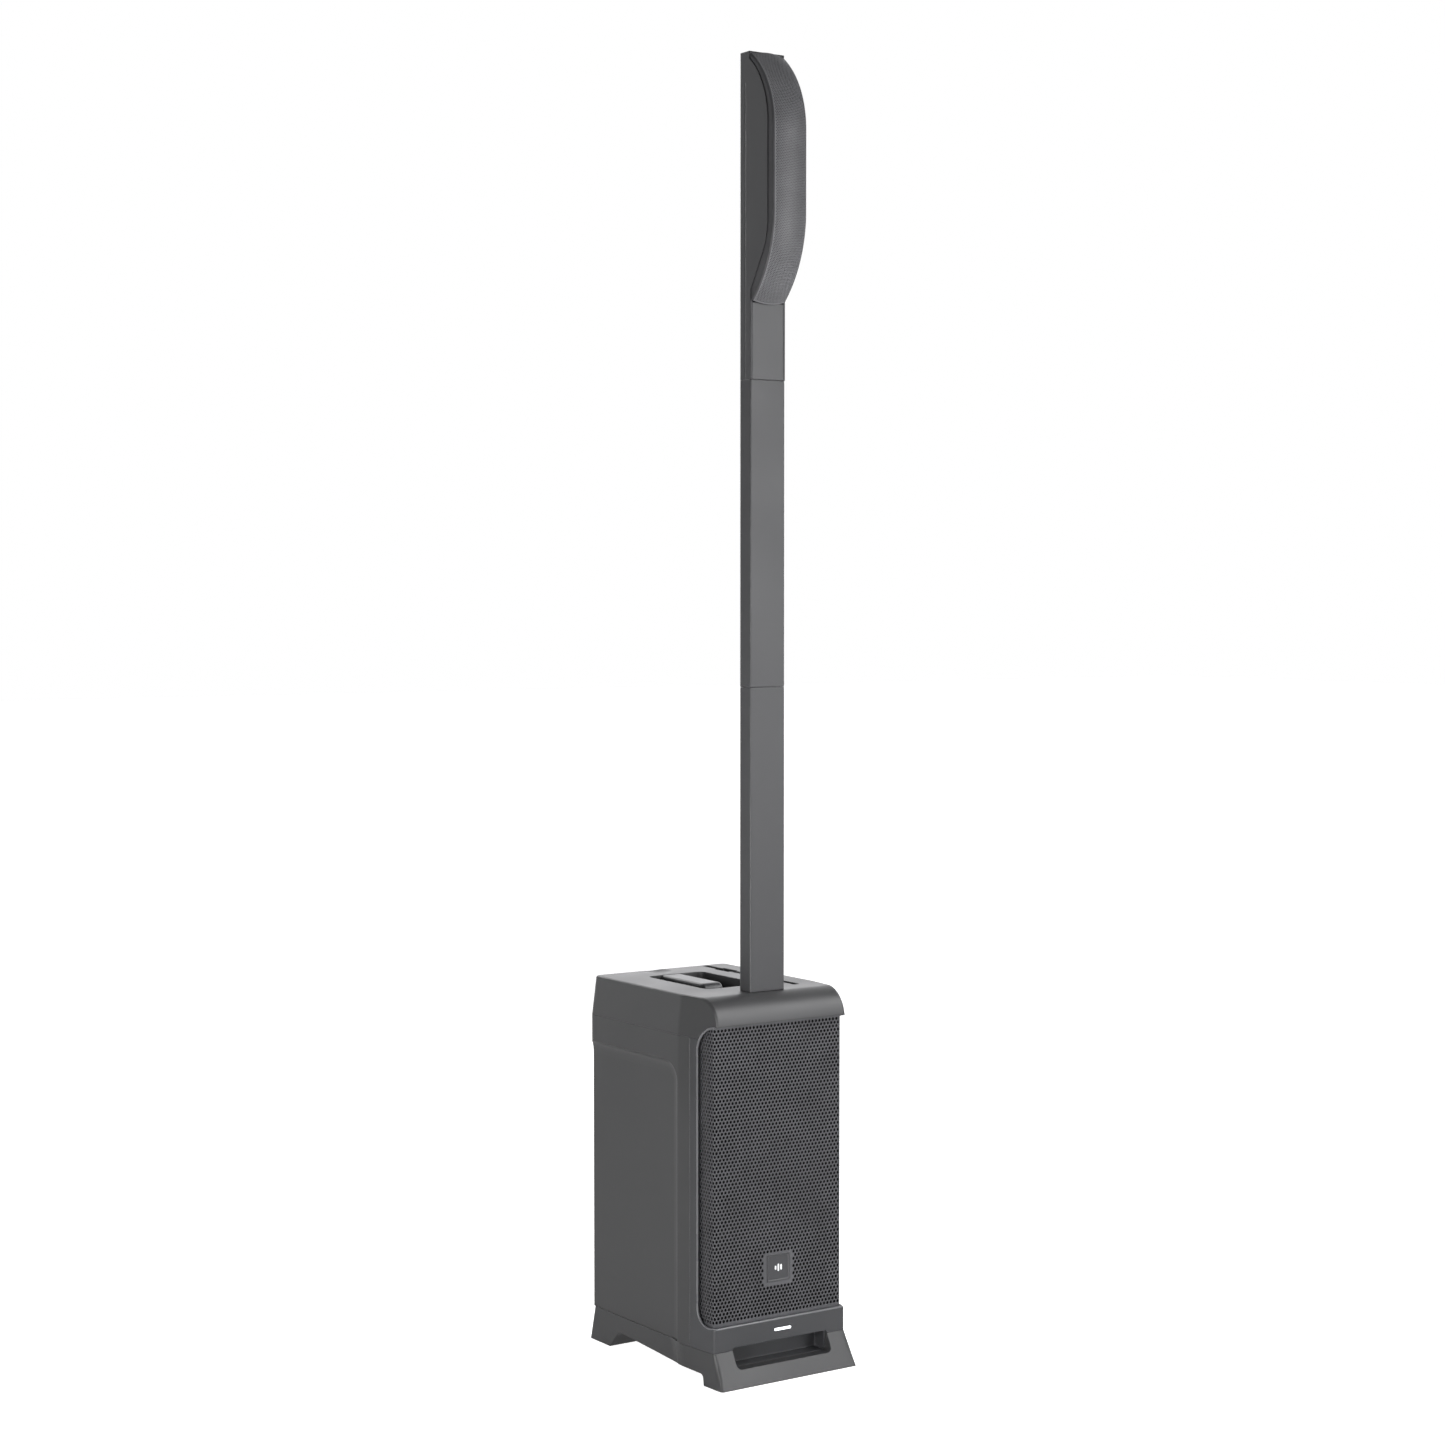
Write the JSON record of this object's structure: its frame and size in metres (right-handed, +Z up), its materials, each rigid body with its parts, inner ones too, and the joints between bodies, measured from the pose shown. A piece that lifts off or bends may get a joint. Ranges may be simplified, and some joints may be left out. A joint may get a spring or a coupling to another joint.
{
  "type": "column pa speaker",
  "caption": "Free-standing column PA speaker: bass cabinet with carry handle and perforated grille, two stacked column spacers and a curved array on top.",
  "frame": {"origin": "on the floor, under the middle of the footprint", "axes": "+Z up along the column, front faces -Y, +X to the right as seen from the front"},
  "size_m": [0.288, 0.406, 2.2008],
  "materials": {
    "cabinet_plastic": "textured moulded ABS, charcoal",
    "bezel_plastic": "satin moulded ABS, charcoal",
    "column_shell": "satin grey paint on moulded shell",
    "neck_satin": "satin, smoother than the shell",
    "grille_steel": "powder-coated perforated steel",
    "mesh_steel": "fine powder-coated mesh",
    "foam": "acoustic foam",
    "rubber": "matt black rubber",
    "badge_plastic": null,
    "light_lens": "lit white diffuser",
    "baffle": "painted fibreboard",
    "cast_frame": "die cast",
    "magnet": "ferrite and plated steel",
    "cone_paper": "coated paper",
    "knob": "soft-touch black",
    "button": "moulded black",
    "panel": "black powder coat",
    "screen": "dark display window",
    "socket": "black nylon",
    "steel": "zinc plated",
    "black_steel": "black oxide",
    "brass": "contact brass",
    "board": "circuit board",
    "heatsink": "extruded",
    "battery": "moulded black"
  },
  "bodies": {
    "cabinet": {"plinth": "cabinet_plastic", "rubber_feet": "rubber", "cabinet_shell": "cabinet_plastic", "front_bezel": "bezel_plastic", "light_bar": "light_lens", "top_cap": "cabinet_plastic", "handle_bar": "bezel_plastic", "front_grille": "grille_steel", "badge": "badge_plastic", "grille_foam": "foam", "baffle_board": "baffle", "woofer_basket": "cast_frame", "woofer_magnet": "magnet", "woofer_surround": "rubber", "woofer_screws": "black_steel", "port_duct": "bezel_plastic", "column_socket": "socket", "socket_contacts": "brass", "rear_panel": "panel", "panel_screws": "black_steel", "display_window": "screen", "control_board": "board", "combo_sockets": "socket", "line_sockets": "socket", "usb_socket": "steel", "mains_inlet": "socket", "inlet_pins": "steel", "amplifier_board": "board", "heatsink": "heatsink", "battery_bay": "cabinet_plastic", "battery_contacts": "brass"},
    "lower_spacer": {"lower_spacer_tube": "column_shell", "lower_spacer_spigot": "socket", "lower_spacer_socket": "socket", "lower_spacer_contacts": "brass"},
    "upper_spacer": {"upper_spacer_tube": "column_shell", "upper_spacer_spigot": "socket", "upper_spacer_socket": "socket", "upper_spacer_contacts": "brass"},
    "array": {"array_housing": "column_shell", "array_neck": "neck_satin", "array_spigot": "socket", "array_contacts": "brass", "array_grille": "mesh_steel", "array_baffle": "baffle", "array_driver_frames": "cast_frame"},
    "array_cones": {"array_driver_cones": "cone_paper"},
    "woofer_cone": {"woofer_cone": "cone_paper"},
    "encoder_stem": {"encoder_stem": "steel"},
    "main_knob": {"main_knob": "knob"},
    "channel_knob_1": {"channel_knob_1": "knob"},
    "channel_knob_2": {"channel_knob_2": "knob"},
    "channel_knob_3": {"channel_knob_3": "knob"},
    "channel_knob_4": {"channel_knob_4": "knob"},
    "menu_button": {"menu_button": "button"},
    "link_button": {"link_button": "button"},
    "preset_button": {"preset_button": "button"},
    "power_rocker": {"power_rocker": "socket"},
    "battery": {"battery_pack": "battery"},
    "battery_release": {"battery_release": "button"}
  },
  "joints": [
    {"name": "lower_spacer_lift", "type": "slide", "parent": "cabinet", "child": "lower_spacer", "axis": [0, 0, 1], "range_m": [0, 0.07]},
    {"name": "upper_spacer_lift", "type": "slide", "parent": "lower_spacer", "child": "upper_spacer", "axis": [0, 0, 1], "range_m": [0, 0.07]},
    {"name": "array_lift", "type": "slide", "parent": "upper_spacer", "child": "array", "axis": [0, 0, 1], "range_m": [0, 0.07]},
    {"name": "array_cone_travel", "type": "slide", "parent": "array", "child": "array_cones", "axis": [0, -1, 0], "range_m": [-0.0006, 0.0006], "stiffness_N_per_m": 4000},
    {"name": "woofer_cone_travel", "type": "slide", "parent": "cabinet", "child": "woofer_cone", "axis": [0, -1, 0], "range_m": [-0.005, 0.005], "stiffness_N_per_m": 3000},
    {"name": "encoder_push", "type": "slide", "parent": "cabinet", "child": "encoder_stem", "axis": [0, -1, 0], "range_m": [0, 0.0008], "stiffness_N_per_m": 900},
    {"name": "encoder_turn", "type": "hinge", "parent": "encoder_stem", "child": "main_knob", "pos_m": [0.058, 0.186, 0.512], "axis": [0, 1, 0], "continuous": true},
    {"name": "channel_1_turn", "type": "hinge", "parent": "cabinet", "child": "channel_knob_1", "pos_m": [-0.078, 0.186, 0.438], "axis": [0, 1, 0], "range_deg": [-150, 150]},
    {"name": "channel_2_turn", "type": "hinge", "parent": "cabinet", "child": "channel_knob_2", "pos_m": [-0.038, 0.186, 0.438], "axis": [0, 1, 0], "range_deg": [-150, 150]},
    {"name": "channel_3_turn", "type": "hinge", "parent": "cabinet", "child": "channel_knob_3", "pos_m": [0.002, 0.186, 0.438], "axis": [0, 1, 0], "range_deg": [-150, 150]},
    {"name": "channel_4_turn", "type": "hinge", "parent": "cabinet", "child": "channel_knob_4", "pos_m": [0.042, 0.186, 0.438], "axis": [0, 1, 0], "range_deg": [-150, 150]},
    {"name": "menu_button_press", "type": "slide", "parent": "cabinet", "child": "menu_button", "axis": [0, -1, 0], "range_m": [0, 0.001], "stiffness_N_per_m": 500},
    {"name": "link_button_press", "type": "slide", "parent": "cabinet", "child": "link_button", "axis": [0, -1, 0], "range_m": [0, 0.001], "stiffness_N_per_m": 500},
    {"name": "preset_button_press", "type": "slide", "parent": "cabinet", "child": "preset_button", "axis": [0, -1, 0], "range_m": [0, 0.001], "stiffness_N_per_m": 500},
    {"name": "power_rocker_tilt", "type": "hinge", "parent": "cabinet", "child": "power_rocker", "pos_m": [-0.014, 0.1825, 0.334], "axis": [1, 0, 0], "range_deg": [-16, 0]},
    {"name": "battery_slide", "type": "slide", "parent": "cabinet", "child": "battery", "axis": [0, 1, 0], "range_m": [0, 0.14]},
    {"name": "battery_release_press", "type": "slide", "parent": "battery", "child": "battery_release", "axis": [0, -1, 0], "range_m": [0, 0.0025], "stiffness_N_per_m": 600}
  ]
}
